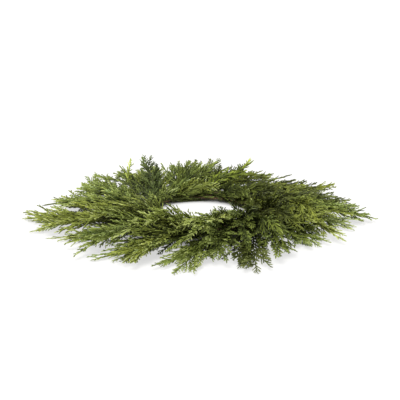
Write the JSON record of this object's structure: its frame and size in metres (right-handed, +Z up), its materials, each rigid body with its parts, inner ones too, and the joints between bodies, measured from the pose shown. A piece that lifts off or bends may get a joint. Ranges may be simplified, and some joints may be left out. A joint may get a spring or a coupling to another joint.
{
  "type": "cedar candle ring",
  "caption": "Wreath-like ring of flat cedar sprays wired to a cane hoop, lying round the foot of a pillar candle.",
  "frame": {"origin": "centre of the candle opening, on the table the ring lies on", "axes": "+Z up along the opening's centre line, +Y away from the side seen in front, +X to the right"},
  "size_m": [0.5785, 0.5833, 0.0497],
  "materials": {
    "cane": "bare bent cane",
    "wire": "dark green enamelled wire",
    "cedar": "matt scale leaves in olive and yellow greens"
  },
  "bodies": {
    "root": {"cane_hoop": "cane", "binding_wire": "wire", "low_spray_01": "cedar", "low_spray_02": "cedar", "low_spray_03": "cedar", "low_spray_04": "cedar", "low_spray_05": "cedar", "low_spray_06": "cedar", "low_spray_07": "cedar", "low_spray_08": "cedar", "low_spray_09": "cedar", "low_spray_10": "cedar", "low_spray_11": "cedar", "low_spray_12": "cedar", "low_spray_13": "cedar", "low_spray_14": "cedar", "middle_spray_01": "cedar", "middle_spray_02": "cedar", "middle_spray_03": "cedar", "middle_spray_04": "cedar", "middle_spray_05": "cedar", "middle_spray_06": "cedar", "middle_spray_07": "cedar", "middle_spray_08": "cedar", "middle_spray_09": "cedar", "middle_spray_10": "cedar", "middle_spray_11": "cedar", "middle_spray_12": "cedar", "middle_spray_13": "cedar", "middle_spray_14": "cedar", "top_spray_01": "cedar", "top_spray_02": "cedar", "top_spray_03": "cedar", "top_spray_04": "cedar", "top_spray_05": "cedar", "top_spray_06": "cedar", "top_spray_07": "cedar", "top_spray_08": "cedar", "top_spray_09": "cedar", "top_spray_10": "cedar", "top_spray_11": "cedar", "top_spray_12": "cedar", "top_spray_13": "cedar", "top_spray_14": "cedar", "collar_sprig_01": "cedar", "collar_sprig_02": "cedar", "collar_sprig_03": "cedar", "collar_sprig_04": "cedar", "collar_sprig_05": "cedar", "collar_sprig_06": "cedar", "collar_sprig_07": "cedar", "tuck_sprig_01": "cedar", "tuck_sprig_02": "cedar", "tuck_sprig_03": "cedar", "tuck_sprig_04": "cedar", "tuck_sprig_05": "cedar", "tuck_sprig_06": "cedar", "tuck_sprig_07": "cedar"}
  },
  "joints": []
}
